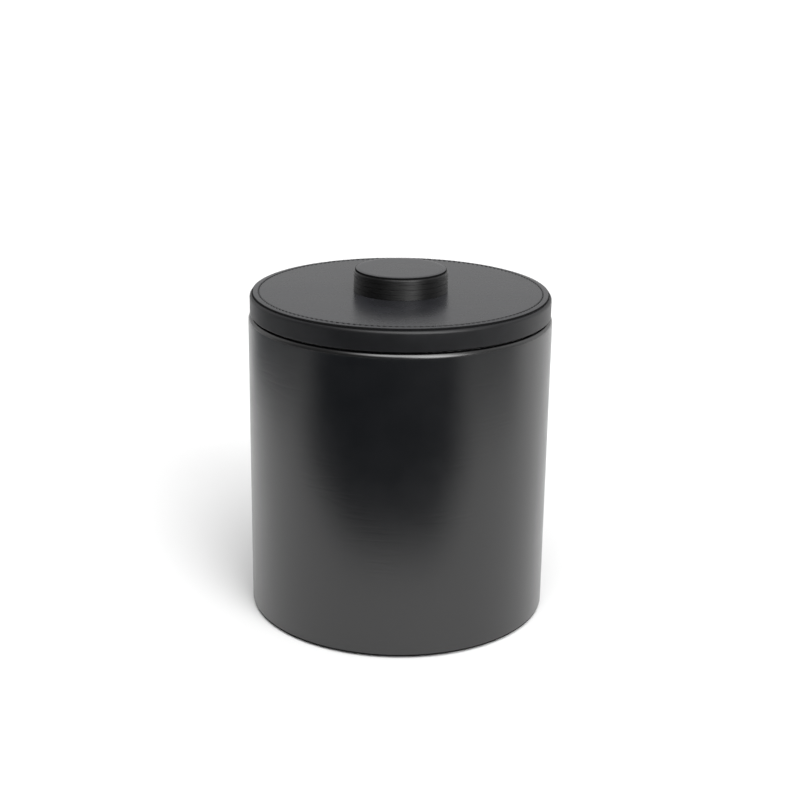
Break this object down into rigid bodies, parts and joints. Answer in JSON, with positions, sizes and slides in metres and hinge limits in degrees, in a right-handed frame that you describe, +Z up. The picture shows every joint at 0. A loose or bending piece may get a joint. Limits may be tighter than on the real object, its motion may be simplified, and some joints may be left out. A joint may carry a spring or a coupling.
{
  "type": "ice bucket",
  "caption": "Round leather-covered ice bucket with a lift-off insulated lid, a stacked leather knob and a lift-out double-walled steel liner.",
  "frame": {"origin": "on the table at the centre of the round foot", "axes": "+Z up along the bucket's axis; +Y towards the upright seam at the rear; +X to the right seen from the front"},
  "size_m": [0.2, 0.2001, 0.2322],
  "materials": {
    "black_leather": "satin, fine grain",
    "knob_leather": "burnished cut edge",
    "thread": "waxed twisted thread",
    "foot_suede": "matte napped",
    "lining_suede": "matte napped",
    "card": "uncoated",
    "shell_wood": "raw fibreboard",
    "liner_steel": "satin brushed",
    "foam": "closed-cell foam",
    "silicone": "matte",
    "nylon": "matte",
    "fastener_steel": "turned stainless"
  },
  "bodies": {
    "bucket": {"base_pad": "foot_suede", "base_filler_card": "card", "base_board": "shell_wood", "shell_wall": "shell_wood", "side_leather": "black_leather", "rear_seam_thread": "thread", "cavity_lining": "lining_suede", "cavity_floor_pad": "lining_suede"},
    "liner": {"liner_pot": "liner_steel", "liner_jacket": "liner_steel", "liner_foam_floor": "foam", "liner_foam_sleeve": "foam"},
    "lid": {"lid_core": "shell_wood", "lid_side_leather": "black_leather", "lid_filler_card": "card", "lid_top_leather": "black_leather", "lid_stitching": "thread", "lid_pan": "liner_steel", "lid_foam": "foam", "lid_gasket": "silicone", "screw_spacer": "nylon", "sealing_washer": "silicone", "steel_washer": "fastener_steel", "knob_screw": "fastener_steel", "knob_insert": "fastener_steel", "knob_layer_1": "knob_leather", "knob_layer_2": "knob_leather", "knob_layer_3": "knob_leather", "knob_layer_4": "knob_leather", "knob_cap": "black_leather"}
  },
  "joints": [
    {"name": "liner_lift", "type": "slide", "parent": "bucket", "child": "liner", "axis": [0, 0, 1], "range_m": [0, 0.2]},
    {"name": "lid_lift", "type": "slide", "parent": "liner", "child": "lid", "axis": [0, 0, 1], "range_m": [0, 0.1]}
  ]
}
